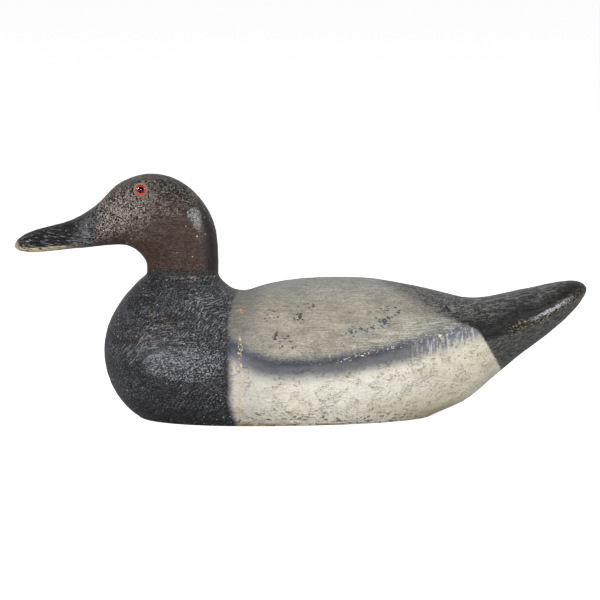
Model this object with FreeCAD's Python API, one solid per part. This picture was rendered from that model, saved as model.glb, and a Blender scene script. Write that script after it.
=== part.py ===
"""Hollow wooden duck decoy with a head that turns on its neck dowel.

Millimetres. +Z is up, the bill points along -X and the duck's left side is -Y.
The origin is on the ground, under the middle of the overall length.
Every physical piece is its own STEP file in parts/.
"""
import FreeCAD
import Part
import math
import os

from FreeCAD import Vector

# ---------------------------------------------------------------- driving dimensions
HALF_LENGTH = 207.5        # bill tip to tail tip is twice this
SEAM_Z = 103.0             # height of the flat joint between neck and head
SEAM_GAP = 0.2             # daylight in that joint, so that the head can turn
HEAD_LOW_Z = SEAM_Z + SEAM_GAP
NECK_X = -85.0             # the dowel's axis, which the head turns about
LOWER_EDGE_R = 3.0         # the underside's outer edge is eased all round
RUNNING_CLEARANCE = 0.05   # on radius, where one piece turns in another
GLUE_CLEARANCE = 0.02      # on radius, where a piece is glued or driven in
OVERCUT = 1.0              # how far a cutting shape reaches past the face it cuts through
SECTION_POINTS = 24        # points round one section of a carved form

# Bottom board, let into a rabbet in the underside
BOARD_CENTRE_X = -9.5
BOARD_HALF_LENGTH = 88.5
BOARD_HALF_WIDTH = 57.0
BOARD_THICKNESS = 9.0
BOARD_EDGE_GAP = 0.15
LEDGE = 8.0                # width of the shelf the board is screwed up against
SEAL_THICKNESS = 0.8
SEAL_WIDTH = 5.0
SEAL_INSET = 1.0           # from the rabbet's wall

# Neck dowel and what holds it down
DOWEL_R = 8.0
DOWEL_TOP_Z = 150.0
DOWEL_END_GAP = 0.5        # above the dowel, in the head
DOWEL_CHAMFER = 1.0
PAD_Z = 74.0                # flat pad gouged round the dowel's bore, inside the hollow
PAD_R = 15.0
PAD_CUT = 37.0             # how far down the pad's cut is carried, out into the hollow
WASHER_R = 12.0
WASHER_THICKNESS = 2.0
WASHER_HOLE_GAP = 0.2      # on radius, round the screw
WASHER_PLAY = 0.1          # between the washer and the pad, so that the head can turn
DOWEL_SCREW_R = 2.4
DOWEL_SCREW_LENGTH = 32.0
DOWEL_SCREW_HEAD_R = 4.8
DOWEL_SCREW_HEAD_HEIGHT = 3.4
DOWEL_SLOT_WIDTH = 1.0
DOWEL_SLOT_DEPTH = 1.2

# Ballast strip, let into the bottom board
BALLAST_LENGTH = 108.0
BALLAST_WIDTH = 32.0
BALLAST_DEPTH = 5.0
BALLAST_CENTRE_X = -6.0
BALLAST_GAP = 0.2
BALLAST_SCREW_SPACING = 84.0

# Wood screws that hold the board and the ballast: (shank radius, head radius, length)
BOARD_SCREW = (1.6, 3.2, 18.0)
BALLAST_SCREW = (1.5, 3.0, 8.4)
BOARD_SCREW_COUNT = 8
SCREW_POINT = 3.0
SLOT_WIDTH = 0.7
SLOT_DEPTH = 0.6
SCREW_TURN = 37.0          # each screw's slot stopped that many degrees further round

# Anchor line tie: a wire loop that folds flat into a recess under the breast
TIE_X = -113.0             # the loop's bar, and the axis it swings about
TIE_Z = 3.6
TIE_WIRE_R = 1.1
TIE_BEND_R = 1.76          # of the loop's two corners
TIE_LOOP_HALF_WIDTH = 5.5
TIE_LOOP_REACH = 11.0
TIE_RECESS_FRONT = 2.8
TIE_RECESS_BACK = 12.6
TIE_RECESS_HALF_WIDTH = 7.6
TIE_RECESS_DEPTH = 5.8
TIE_RECESS_CORNER_R = 3.0
STAPLE_WIRE_R = 0.9
STAPLE_LEG = 14.0          # length of each leg's hole above the recess
STAPLE_TIP_GAP = 1.0       # left above each leg

# Glass eyes
EYE_X = -115.4
EYE_Z = 166.5
EYE_R = 4.0
EYE_DOME = 2.1
EYE_PROUD = 1.1            # how far the top of the dome stands out of the wood
IRIS_THICKNESS = 0.5
PUPIL_R = 2.2
PUPIL_THICKNESS = 0.3
PUTTY_R = 5.4
PUTTY_RIM = 0.5            # how far the putty stands proud of the wood
SOCKET_DEPTH = 9.0
SOCKET_CUT = 27.0          # its drill is carried on out past the cheek
EYE_WIRE_R = 0.5
EYE_WIRE_LENGTH = 6.0

WASHER_LOW_Z = PAD_Z - WASHER_PLAY - WASHER_THICKNESS

# ---------------------------------------------------------------- outer form
# One section: top (x, z), bottom (x, z), half width, widest point as a share of the way
# from top to bottom, roundness of the upper part, roundness of the lower part, edge angle.
# Roundness 2 is an ellipse and more is boxier. An edge angle under 90 makes a ridge
# along the widest line. The body's sections fan round the nape, then run back to the tail.
BODY_SECTIONS = [
    ((-59.0, SEAM_Z), (-111.6, SEAM_Z), 23.6, 0.50, 2.2, 2.2, 90),
    ((-58.2, 101.2), (-124.6, 92.0), 28.2, 0.50, 2.1, 2.2, 90),
    ((-56.6, 99.0), (-138.2, 74.0), 37.8, 0.52, 2.0, 2.2, 90),
    ((-53.5, 96.2), (-144.8, 49.5), 52.0, 0.54, 2.0, 2.2, 90),
    ((-49.6, 93.0), (-139.6, 21.0), 63.5, 0.54, 2.0, 2.2, 90),
    ((-45.4, 91.6), (-121.0, -0.6), 71.0, 0.53, 2.0, 2.3, 90),
    ((-41.2, 91.0), (-96.0, -11.0), 75.5, 0.51, 2.0, 2.5, 90),
    ((-37.0, 91.2), (-66.0, -18.0), 77.8, 0.47, 2.0, 2.7, 90),
    ((-30.0, 94.0), (-35.0, -20.5), 79.0, 0.43, 2.1, 2.8, 90),
    ((-12.0, 98.4), (-10.0, -20.5), 79.2, 0.45, 2.1, 2.8, 88),
    ((18.0, 101.0), (18.0, -19.0), 77.2, 0.46, 2.1, 2.7, 86),
    ((50.0, 100.6), (50.0, -15.0), 72.0, 0.46, 2.1, 2.6, 84),
    ((78.0, 96.0), (78.0, -8.0), 64.6, 0.44, 2.1, 2.4, 82),
    ((102.0, 89.8), (102.0, 2.6), 56.0, 0.40, 2.1, 2.2, 79),
    ((122.0, 84.2), (122.0, 10.0), 48.6, 0.35, 2.1, 2.1, 75),
    ((140.0, 86.6), (140.0, 27.8), 42.0, 0.33, 2.1, 2.0, 70),
    ((160.0, 91.2), (160.0, 43.6), 35.6, 0.34, 2.1, 2.0, 66),
    ((177.0, 95.2), (177.0, 56.0), 29.6, 0.36, 2.1, 2.0, 64),
    ((190.0, 97.6), (190.0, 67.3), 23.4, 0.39, 2.1, 2.0, 66),
    ((199.0, 98.2), (199.0, 76.4), 16.8, 0.42, 2.1, 2.0, 72),
    ((204.4, 97.0), (204.4, 83.0), 10.2, 0.46, 2.1, 2.1, 80),
    ((206.9, 94.8), (206.9, 87.2), 5.0, 0.50, 2.1, 2.1, 88),
    ((HALF_LENGTH, 91.4), (HALF_LENGTH, 89.4), 1.6, 0.50, 2.1, 2.1, 90),
]
# The head's sections fan round the throat, then run forward along the bill.
HEAD_SECTIONS = [
    ((-59.0, HEAD_LOW_Z), (-111.6, HEAD_LOW_Z), 23.6, 0.50, 2.2, 2.2, 90),
    ((-58.5, 123.0), (-110.8, 109.6), 23.3, 0.50, 2.2, 2.2, 90),
    ((-61.5, 143.4), (-113.0, 114.2), 24.2, 0.52, 2.4, 2.2, 90),
    ((-73.0, 161.5), (-116.2, 118.2), 24.8, 0.54, 2.6, 2.2, 90),
    ((-90.2, 174.4), (-120.2, 121.6), 24.4, 0.56, 2.8, 2.2, 90),
    ((-111.6, 177.6), (-125.0, 123.8), 22.8, 0.56, 3.0, 2.3, 90),
    ((-130.0, 171.0), (-130.0, 124.6), 20.4, 0.56, 2.8, 2.4, 90),
    ((-138.2, 163.6), (-137.6, 124.3), 18.8, 0.58, 2.5, 2.4, 90),
    ((-146.0, 155.0), (-145.6, 123.6), 17.2, 0.60, 2.3, 2.4, 90),
    ((-155.0, 148.2), (-155.0, 122.8), 15.4, 0.64, 2.1, 2.5, 90),
    ((-165.0, 143.0), (-165.0, 122.0), 14.0, 0.70, 2.0, 2.6, 88),
    ((-175.0, 139.6), (-175.0, 121.0), 13.6, 0.76, 1.9, 2.6, 86),
    ((-185.0, 137.5), (-185.0, 120.0), 14.0, 0.80, 1.9, 2.6, 84),
    ((-194.0, 134.9), (-194.0, 119.4), 14.0, 0.80, 1.9, 2.6, 84),
    ((-200.0, 132.3), (-200.0, 119.6), 11.8, 0.76, 2.0, 2.4, 86),
    ((-204.2, 129.5), (-204.2, 120.2), 8.4, 0.68, 2.0, 2.2, 88),
    ((-206.6, 127.0), (-206.6, 121.4), 4.6, 0.58, 2.0, 2.0, 90),
    ((-HALF_LENGTH, 124.4), (-HALF_LENGTH, 122.8), 1.6, 0.50, 2.0, 2.0, 90),
]
# The hollow's sections are level, from its mouth in the rabbet up to its ceiling.
MOUTH_Z = BOARD_THICKNESS + SEAL_THICKNESS
MOUTH_FRONT_X = BOARD_CENTRE_X - BOARD_HALF_LENGTH + LEDGE
MOUTH_BACK_X = BOARD_CENTRE_X + BOARD_HALF_LENGTH - LEDGE
HOLLOW_SECTIONS = [
    ((MOUTH_FRONT_X, MOUTH_Z), (MOUTH_BACK_X, MOUTH_Z), BOARD_HALF_WIDTH - LEDGE, 0.50, 2.0, 2.0, 90),
    ((-92.0, 24.0), (72.0, 24.0), 51.0, 0.50, 2.0, 2.0, 90),
    ((-96.0, 44.0), (72.0, 44.0), 50.0, 0.50, 2.0, 2.0, 90),
    ((-103.0, 66.0), (68.0, 66.0), 42.0, 0.45, 2.0, 2.0, 90),
    ((-104.0, 79.0), (56.0, 79.0), 30.0, 0.42, 2.0, 2.0, 90),
    ((-70.0, 79.5), (24.0, 79.5), 14.0, 0.45, 2.0, 2.0, 90),
    ((-40.0, 79.5), (0.0, 79.5), 6.0, 0.50, 2.0, 2.0, 90),
]


def arc_shares(roundness, edge_angle, count):
    """Points of one quarter of a section, from its end to its widest line, as (width share, height share)."""
    power = 2.0 / roundness
    last = math.radians(edge_angle)
    width_end = math.sin(last) ** power
    height_end = math.cos(last) ** power if edge_angle < 90 else 0.0
    shares = []
    for i in range(count + 1):
        angle = last * i / count
        width = math.sin(angle) ** power / width_end
        height = (max(math.cos(angle), 0.0) ** power - height_end) / (1.0 - height_end)
        shares.append((width, height))
    return shares


def section_poles(top, bottom, half_width, widest, round_top, round_bottom, edge_angle):
    """Closed ring of points round one section, in the plane of Y and the line from top to bottom."""
    quarter = SECTION_POINTS // 4
    upper = arc_shares(round_top, edge_angle, quarter)
    lower = arc_shares(round_bottom, edge_angle, quarter)
    side = [(width, widest * (1.0 - height)) for width, height in upper]
    side += [(width, widest + (1.0 - widest) * height) for width, height in reversed(lower[:-1])]
    loop = side + [(-width, share) for width, share in reversed(side[1:-1])]
    start = Vector(top[0], 0, top[1])
    down = Vector(bottom[0], 0, bottom[1]) - start
    return [start + down * share + Vector(0, half_width * width, 0) for width, share in loop]


def form_surface(sections):
    """Smooth tube that follows the sections: cubic, closed round each one, open at both ends."""
    poles = [section_poles(*section) for section in sections]
    spans = len(sections) - 3
    length_mults = [4] + [1] * (spans - 1) + [4]
    length_knots = list(range(spans + 1))
    round_knots = list(range(SECTION_POINTS + 1))
    round_mults = [1] * len(round_knots)
    surface = Part.BSplineSurface()
    surface.buildFromPolesMultsKnots(poles, length_mults, round_mults, length_knots, round_knots,
                                     False, True, 3, 3)
    return surface


def carved_form(sections):
    """Smooth solid that follows a list of sections, with its two ends closed flat."""
    surface = form_surface(sections)
    first, last = surface.bounds()[:2]
    faces = [surface.toShape()]
    faces += [Part.Face(Part.Wire(surface.uIso(end).toShape())) for end in (first, last)]
    shell = Part.makeShell(faces)
    shell.sewShape()
    return Part.makeSolid(shell)


def cylinder(radius, z_low, z_high, x=0.0, y=0.0):
    return Part.makeCylinder(radius, z_high - z_low, Vector(x, y, z_low))


def oval_plate(half_length, half_width, centre_x, z_low, z_high):
    outline = Part.Ellipse(Vector(centre_x, 0, z_low), half_length, half_width)
    face = Part.Face(Part.Wire(outline.toShape()))
    return face.extrude(Vector(0, 0, z_high - z_low))


def on_oval(half_length, half_width, centre_x, count):
    """Evenly turned places round an oval, starting between the long axis and the short one."""
    turns = [2 * math.pi * (i + 0.5) / count for i in range(count)]
    return [(centre_x + half_length * math.cos(a), half_width * math.sin(a)) for a in turns]


def cap_radius(half_width, height):
    """Radius of the ball that a cap of that half width and height is cut from."""
    return (half_width ** 2 + height ** 2) / (2 * height)


def swept_wire(path_edges, radius, start, direction):
    """Round wire along a path."""
    profile = Part.Wire(Part.makeCircle(radius, start, direction))
    return Part.Wire(path_edges).makePipeShell([profile], True, True)


# ---------------------------------------------------------------- screws
def wood_screw(shank_r, head_r, length, extra=0.0):
    """Countersunk screw driven upwards, head face at z 0. extra fattens it to make its own hole."""
    head_height = head_r - shank_r
    outline = [
        Vector(0, 0, 0),
        Vector(head_r + extra, 0, 0),
        Vector(head_r + extra, 0, extra),
        Vector(shank_r + extra, 0, head_height + extra),
        Vector(shank_r + extra, 0, length - SCREW_POINT),
        Vector(0, 0, length + extra),
    ]
    face = Part.Face(Part.makePolygon(outline + outline[:1]))
    screw = face.revolve(Vector(0, 0, 0), Vector(0, 0, 1), 360)
    if extra:
        return screw
    slot = Part.makeBox(4 * head_r, SLOT_WIDTH, SLOT_DEPTH, Vector(-2 * head_r, -SLOT_WIDTH / 2, 0))
    return screw.cut(slot)


def placed(shape, x, y, z=0.0, turn=0.0):
    copy = shape.copy()
    copy.rotate(Vector(0, 0, 0), Vector(0, 0, 1), turn)
    copy.translate(Vector(x, y, z))
    return copy


def board_screw_places():
    ring_length = BOARD_HALF_LENGTH - LEDGE / 2
    ring_width = BOARD_HALF_WIDTH - LEDGE / 2
    return on_oval(ring_length, ring_width, BOARD_CENTRE_X, BOARD_SCREW_COUNT)


def ballast_screw_places():
    half = BALLAST_SCREW_SPACING / 2
    return [(BALLAST_CENTRE_X - half, 0.0), (BALLAST_CENTRE_X + half, 0.0)]


def screw_set(size, places):
    """Identical screws, each turned by hand to its own angle."""
    return [placed(wood_screw(*size), x, y, turn=SCREW_TURN * i) for i, (x, y) in enumerate(places)]


def screw_holes(size, places):
    return [placed(wood_screw(*size, extra=GLUE_CLEARANCE), x, y) for x, y in places]


# ---------------------------------------------------------------- hull
def tie_recess():
    """Shallow round-ended pocket that the folded loop lies in."""
    length = TIE_RECESS_FRONT + TIE_RECESS_BACK
    box = Part.makeBox(length, 2 * TIE_RECESS_HALF_WIDTH, 2 * TIE_RECESS_DEPTH,
                       Vector(TIE_X - TIE_RECESS_FRONT, -TIE_RECESS_HALF_WIDTH, -TIE_RECESS_DEPTH))
    corners = [e for e in box.Edges if abs(e.BoundBox.ZMax - e.BoundBox.ZMin) > TIE_RECESS_DEPTH]
    return box.makeFillet(TIE_RECESS_CORNER_R, corners)


def staple_legs_x():
    """Front and back leg of the staple, either side of the loop's bar."""
    offset = TIE_WIRE_R + STAPLE_WIRE_R + RUNNING_CLEARANCE
    return TIE_X - offset, TIE_X + offset


def below_ground():
    """Everything under the flat underside."""
    reach = 2 * HALF_LENGTH
    return Part.makeBox(2 * reach, 2 * reach, reach, Vector(-reach, -reach, -reach))


def outer_hull():
    """The body's outside, cut off flat at the ground, with its lower edge eased."""
    shape = carved_form(BODY_SECTIONS).cut(below_ground())
    lower_edge = [e for e in shape.Edges if abs(e.BoundBox.ZMax) < 0.001]
    return shape.makeFillet(LOWER_EDGE_R, lower_edge)


def hollow_body():
    shape = outer_hull()
    rabbet = oval_plate(BOARD_HALF_LENGTH, BOARD_HALF_WIDTH, BOARD_CENTRE_X, -OVERCUT, MOUTH_Z)
    dowel_bore = cylinder(DOWEL_R + RUNNING_CLEARANCE, PAD_Z - OVERCUT, SEAM_Z + OVERCUT, NECK_X)
    pad = cylinder(PAD_R, PAD_Z - PAD_CUT, PAD_Z, NECK_X)
    leg_holes = [cylinder(STAPLE_WIRE_R + GLUE_CLEARANCE, 0, TIE_RECESS_DEPTH + STAPLE_LEG, x)
                 for x in staple_legs_x()]
    cuts = [rabbet, carved_form(HOLLOW_SECTIONS), dowel_bore, pad, tie_recess()]
    cuts += leg_holes + screw_holes(BOARD_SCREW, board_screw_places())
    for cut in cuts:
        shape = shape.cut(cut)
    return shape


def bottom_board():
    board = oval_plate(BOARD_HALF_LENGTH - BOARD_EDGE_GAP, BOARD_HALF_WIDTH - BOARD_EDGE_GAP,
                       BOARD_CENTRE_X, 0, BOARD_THICKNESS)
    cuts = [ballast_strip(BALLAST_GAP)]
    cuts += screw_holes(BOARD_SCREW, board_screw_places())
    cuts += screw_holes(BALLAST_SCREW, ballast_screw_places())
    for cut in cuts:
        board = board.cut(cut)
    return board


def bottom_board_seal():
    """Bead of sealing compound squeezed between the board and the ledge."""
    half_length = BOARD_HALF_LENGTH - SEAL_INSET
    half_width = BOARD_HALF_WIDTH - SEAL_INSET
    outer = oval_plate(half_length, half_width, BOARD_CENTRE_X, BOARD_THICKNESS, MOUTH_Z)
    inner = oval_plate(half_length - SEAL_WIDTH, half_width - SEAL_WIDTH, BOARD_CENTRE_X,
                       BOARD_THICKNESS - OVERCUT, MOUTH_Z + OVERCUT)
    seal = outer.cut(inner)
    for hole in screw_holes(BOARD_SCREW, board_screw_places()):
        seal = seal.cut(hole)
    return seal


# ---------------------------------------------------------------- ballast
def ballast_strip(gap=0.0):
    """Round-ended lead strip, flush with the underside. gap makes the pocket for it."""
    radius = BALLAST_WIDTH / 2 + gap
    straight = BALLAST_LENGTH - BALLAST_WIDTH
    low = -OVERCUT if gap else 0.0
    high = BALLAST_DEPTH + gap
    bar = Part.makeBox(straight, 2 * radius, high - low,
                       Vector(BALLAST_CENTRE_X - straight / 2, -radius, low))
    ends = [cylinder(radius, low, high, BALLAST_CENTRE_X + side * straight / 2) for side in (-1, 1)]
    return bar.fuse(ends).removeSplitter()


def ballast_weight():
    strip = ballast_strip()
    for hole in screw_holes(BALLAST_SCREW, ballast_screw_places()):
        strip = strip.cut(hole)
    return strip


# ---------------------------------------------------------------- anchor line tie
def line_tie_loop():
    """Closed wire loop: straight bar across the body, round bow towards the tail."""
    bend = TIE_BEND_R
    half = TIE_LOOP_HALF_WIDTH
    tip = TIE_X + TIE_LOOP_REACH

    def at(x, y):
        return Vector(x, y, TIE_Z)

    bow_start = tip - half
    diagonal = bend * (1 - math.sqrt(0.5))
    path = [
        Part.makeLine(at(TIE_X, -half + bend), at(TIE_X, half - bend)),
        Part.Arc(at(TIE_X, half - bend), at(TIE_X + diagonal, half - diagonal),
                 at(TIE_X + bend, half)).toShape(),
        Part.makeLine(at(TIE_X + bend, half), at(bow_start, half)),
        Part.Arc(at(bow_start, half), at(tip, 0), at(bow_start, -half)).toShape(),
        Part.makeLine(at(bow_start, -half), at(TIE_X + bend, -half)),
        Part.Arc(at(TIE_X + bend, -half), at(TIE_X + diagonal, -half + diagonal),
                 at(TIE_X, -half + bend)).toShape(),
    ]
    return swept_wire(path, TIE_WIRE_R, at(TIE_X, -half + bend), Vector(0, 1, 0))


def line_tie_staple():
    """U of wire whose crown passes under the loop's bar, with both legs driven up into the wood."""
    front, back = staple_legs_x()
    radius = (back - front) / 2
    top = TIE_RECESS_DEPTH + STAPLE_LEG - STAPLE_TIP_GAP
    path = [
        Part.makeLine(Vector(front, 0, top), Vector(front, 0, TIE_Z)),
        Part.Arc(Vector(front, 0, TIE_Z), Vector(TIE_X, 0, TIE_Z - radius),
                 Vector(back, 0, TIE_Z)).toShape(),
        Part.makeLine(Vector(back, 0, TIE_Z), Vector(back, 0, top)),
    ]
    return swept_wire(path, STAPLE_WIRE_R, Vector(front, 0, top), Vector(0, 0, -1))


# ---------------------------------------------------------------- head
def eye_surface_y(form):
    """Half width of the head where the eye goes."""
    probe = Part.makeLine(Vector(EYE_X, 0, EYE_Z), Vector(EYE_X, HALF_LENGTH, EYE_Z))
    return form.common(probe).BoundBox.YMax


def head(form, eye_y):
    """Head and bill, bored for the dowel and the eyes. eye_y is the half width of the form there."""
    bore = cylinder(DOWEL_R + GLUE_CLEARANCE, SEAM_Z - OVERCUT, DOWEL_TOP_Z + DOWEL_END_GAP, NECK_X)
    shape = form.cut(bore)
    for side in (-1, 1):
        bottom = Vector(EYE_X, side * (eye_y - SOCKET_DEPTH), EYE_Z)
        socket = Part.makeCylinder(PUTTY_R, SOCKET_CUT, bottom, Vector(0, side, 0))
        shape = shape.cut(socket)
    return shape


def neck_dowel():
    dowel = cylinder(DOWEL_R, PAD_Z, DOWEL_TOP_Z, NECK_X)
    ends = [e for e in dowel.Edges if len(e.Vertexes) == 1]
    dowel = dowel.makeChamfer(DOWEL_CHAMFER, ends)
    pilot = cylinder(DOWEL_SCREW_R + GLUE_CLEARANCE, PAD_Z - OVERCUT,
                     WASHER_LOW_Z + DOWEL_SCREW_LENGTH + OVERCUT, NECK_X)
    return dowel.cut(pilot)


def dowel_washer():
    disc = cylinder(WASHER_R, WASHER_LOW_Z, WASHER_LOW_Z + WASHER_THICKNESS, NECK_X)
    hole = cylinder(DOWEL_SCREW_R + WASHER_HOLE_GAP, WASHER_LOW_Z - OVERCUT, PAD_Z + OVERCUT, NECK_X)
    return disc.cut(hole)


def dowel_screw():
    """Round-head screw from inside the hollow, up through the washer into the dowel's end."""
    low = WASHER_LOW_Z - DOWEL_SCREW_HEAD_HEIGHT
    tip_z = WASHER_LOW_Z + DOWEL_SCREW_LENGTH
    ball_r = cap_radius(DOWEL_SCREW_HEAD_R, DOWEL_SCREW_HEAD_HEIGHT)
    ball = Part.makeSphere(ball_r, Vector(NECK_X, 0, low + ball_r))
    dome = ball.common(cylinder(DOWEL_SCREW_HEAD_R, low, WASHER_LOW_Z, NECK_X))
    shank = cylinder(DOWEL_SCREW_R, WASHER_LOW_Z, tip_z - SCREW_POINT, NECK_X)
    point = Part.makeCone(DOWEL_SCREW_R, 0, SCREW_POINT, Vector(NECK_X, 0, tip_z - SCREW_POINT))
    slot = Part.makeBox(2 * DOWEL_SCREW_HEAD_R, DOWEL_SLOT_WIDTH, DOWEL_SLOT_DEPTH,
                        Vector(NECK_X - DOWEL_SCREW_HEAD_R, -DOWEL_SLOT_WIDTH / 2, low))
    return dome.fuse([shank, point]).removeSplitter().cut(slot)


# ---------------------------------------------------------------- eyes
def eye_pieces(eye_y, side):
    """Glass, iris, pupil, wire and putty of one eye. side is -1 on the duck's left."""
    outward = Vector(0, side, 0)

    def along(distance):
        """Point on the eye's axis, that far from the middle of the head."""
        return Vector(EYE_X, side * distance, EYE_Z)

    face = eye_y + EYE_PROUD - EYE_DOME
    ball_r = cap_radius(EYE_R, EYE_DOME)
    ball = Part.makeSphere(ball_r, along(face + EYE_DOME - ball_r))
    glass = ball.common(Part.makeCylinder(EYE_R, EYE_DOME + OVERCUT, along(face), outward))

    iris_back = face - IRIS_THICKNESS
    pupil_back = face - PUPIL_THICKNESS
    pupil = Part.makeCylinder(PUPIL_R, PUPIL_THICKNESS, along(pupil_back), outward)
    iris = Part.makeCylinder(EYE_R, IRIS_THICKNESS, along(iris_back), outward).cut(pupil)

    wire_back = iris_back - EYE_WIRE_LENGTH
    wire = Part.makeCylinder(EYE_WIRE_R, EYE_WIRE_LENGTH, along(wire_back), outward)

    socket_bottom = eye_y - SOCKET_DEPTH
    plug = Part.makeCylinder(PUTTY_R - GLUE_CLEARANCE, SOCKET_DEPTH + PUTTY_RIM,
                             along(socket_bottom), outward)
    rims = [e for e in plug.Edges if len(e.Vertexes) == 1]
    outer_rim = max(rims, key=lambda edge: abs(edge.CenterOfMass.y))
    plug = plug.makeFillet(PUTTY_RIM, [outer_rim])
    bed = Part.makeCylinder(EYE_R + GLUE_CLEARANCE, SOCKET_CUT,
                            along(iris_back - GLUE_CLEARANCE), outward)
    wire_hole = Part.makeCylinder(EYE_WIRE_R + GLUE_CLEARANCE, EYE_WIRE_LENGTH + OVERCUT,
                                  along(wire_back - GLUE_CLEARANCE), outward)
    putty = plug.cut(bed).cut(wire_hole)
    return {"eye_glass": glass, "eye_iris": iris, "eye_pupil": pupil,
            "eye_wire": wire, "eye_putty": putty}


def all_parts():
    """Every node's name and its solids."""
    form = carved_form(HEAD_SECTIONS)
    eye_y = eye_surface_y(form)
    parts = {
        "hollow_body": [hollow_body()],
        "bottom_board": [bottom_board()],
        "bottom_board_seal": [bottom_board_seal()],
        "bottom_board_screws": screw_set(BOARD_SCREW, board_screw_places()),
        "ballast_weight": [ballast_weight()],
        "ballast_screws": screw_set(BALLAST_SCREW, ballast_screw_places()),
        "line_tie_staple": [line_tie_staple()],
        "line_tie_loop": [line_tie_loop()],
        "head": [head(form, eye_y)],
        "neck_dowel": [neck_dowel()],
        "dowel_washer": [dowel_washer()],
        "dowel_screw": [dowel_screw()],
    }
    for name, side in (("left", -1), ("right", 1)):
        for piece, shape in eye_pieces(eye_y, side).items():
            parts[f"{name}_{piece}"] = [shape]
    return parts


def main():
    os.makedirs("parts", exist_ok=True)
    for name, shapes in all_parts().items():
        solids = [solid for shape in shapes for solid in shape.Solids]
        whole = solids[0] if len(solids) == 1 else Part.makeCompound(solids)
        whole.exportStep(f"parts/{name}.step")
        state = "valid" if whole.isValid() else "NOT VALID"
        print(f"{name}: {len(solids)} solid(s), {sum(s.Volume for s in solids) / 1000:.2f} cm3, {state}")


main()
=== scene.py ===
"""Looks of the wooden duck decoy: carved and painted skins, materials, light and camera."""
import math
from types import SimpleNamespace

import bmesh
import bpy
import numpy as np
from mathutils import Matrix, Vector, noise


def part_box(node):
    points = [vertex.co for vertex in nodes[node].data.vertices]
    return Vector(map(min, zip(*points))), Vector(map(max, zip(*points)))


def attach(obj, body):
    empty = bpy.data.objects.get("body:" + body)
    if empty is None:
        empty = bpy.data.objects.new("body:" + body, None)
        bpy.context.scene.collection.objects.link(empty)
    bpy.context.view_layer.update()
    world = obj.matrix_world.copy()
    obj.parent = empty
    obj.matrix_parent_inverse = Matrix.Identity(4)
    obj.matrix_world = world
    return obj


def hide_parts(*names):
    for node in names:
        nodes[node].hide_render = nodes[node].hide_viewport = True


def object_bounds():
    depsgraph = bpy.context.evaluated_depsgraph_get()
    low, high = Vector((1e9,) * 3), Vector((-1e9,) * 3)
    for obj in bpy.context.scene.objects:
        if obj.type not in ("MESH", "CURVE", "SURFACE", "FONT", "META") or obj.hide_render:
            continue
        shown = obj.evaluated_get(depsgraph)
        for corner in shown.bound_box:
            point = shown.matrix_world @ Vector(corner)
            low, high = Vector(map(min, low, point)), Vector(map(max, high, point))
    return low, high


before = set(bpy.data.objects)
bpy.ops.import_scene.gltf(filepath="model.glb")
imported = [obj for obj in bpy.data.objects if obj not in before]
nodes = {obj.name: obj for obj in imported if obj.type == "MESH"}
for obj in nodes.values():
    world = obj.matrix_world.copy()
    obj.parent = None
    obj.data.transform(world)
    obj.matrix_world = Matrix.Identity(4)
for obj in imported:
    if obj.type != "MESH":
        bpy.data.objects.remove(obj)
cad_bounds = [Vector(corner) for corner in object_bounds()]

MM = 0.001
SEED = 7

# ------------------------------------------------------------------ sizes read from the frame
SEAM_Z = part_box("hollow_body")[1].z            # top of the neck shelf
HEAD_SEAM_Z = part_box("head")[0].z              # bottom of the head
EYES = {side: sum(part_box(f"{side}_eye_putty"), Vector()) / 2 for side in ("left", "right")}
EYE_PUTTY_R = (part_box("left_eye_putty")[1].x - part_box("left_eye_putty")[0].x) / 2
EYE_PUTTY_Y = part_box("right_eye_putty")[1].y   # how far out from the middle the putty's face is
BODY_VOXEL = 1.3 * MM
HEAD_VOXEL = 0.65 * MM
FLAT_TOLERANCE = 0.02 * MM
SKIRT = 8 * MM                                 # how far rims and cutters reach past the skin
SOCKET_MARGIN = 0.02 * MM                      # round the eye putty, to find its socket
SOCKET_START = 5 * MM                          # out from the middle of the head
BROW_REACH = 11 * MM                           # out from the putty's rim
BROW_LIMIT = 5 * MM
PUTTY_PROUD = 0.4 * MM                         # how far the putty stands out of the swollen head
TILT = math.radians(7)                         # how far above level the duck is looked at

# ------------------------------------------------------------------ light, floor and camera
MIDDLE = sum(cad_bounds, Vector()) / 2
LIGHT_DISTANCE = 1.8
DUCK_SHARE = 0.95                              # of the picture's width
VIEW_DISTANCE = 8.0
SENSOR_WIDTH = 36
FLOOR_SIZE = 8
FLOOR_GAP = 0.05 * MM                          # keeps the floor just clear of the flat underside
FLOOR_SHADE = 0.8                              # as the camera sees it
FLOOR_BOUNCE = 0.5                             # what it throws back on the duck
FLOOR_LIFT = 0.75                              # glow that whitens it for the camera
SKY_FRONT = 0.12
SKY_BACK = 0.6


# ------------------------------------------------------------------ meshes
def islands(faces):
    """Groups of faces that hang together, biggest reach first."""
    left = set(faces)
    groups = []
    while left:
        stack = [left.pop()]
        group = []
        while stack:
            face = stack.pop()
            group.append(face)
            for edge in face.edges:
                for other in edge.link_faces:
                    if other in left:
                        left.remove(other)
                        stack.append(other)
        groups.append(group)

    def reach(group):
        xs = [v.co.x for face in group for v in face.verts]
        return max(xs) - min(xs)

    return sorted(groups, key=reach, reverse=True)


def without(bm, faces):
    """A copy of the mesh with those faces taken out."""
    indices = {face.index for face in faces}
    copy = bm.copy()
    copy.faces.ensure_lookup_table()
    bmesh.ops.delete(copy, geom=[f for f in copy.faces if f.index in indices], context="FACES")
    return copy


def close_holes(bm):
    bmesh.ops.holes_fill(bm, edges=[e for e in bm.edges if e.is_boundary], sides=0)
    bmesh.ops.triangulate(bm, faces=bm.faces)
    bmesh.ops.recalc_face_normals(bm, faces=bm.faces)


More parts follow.
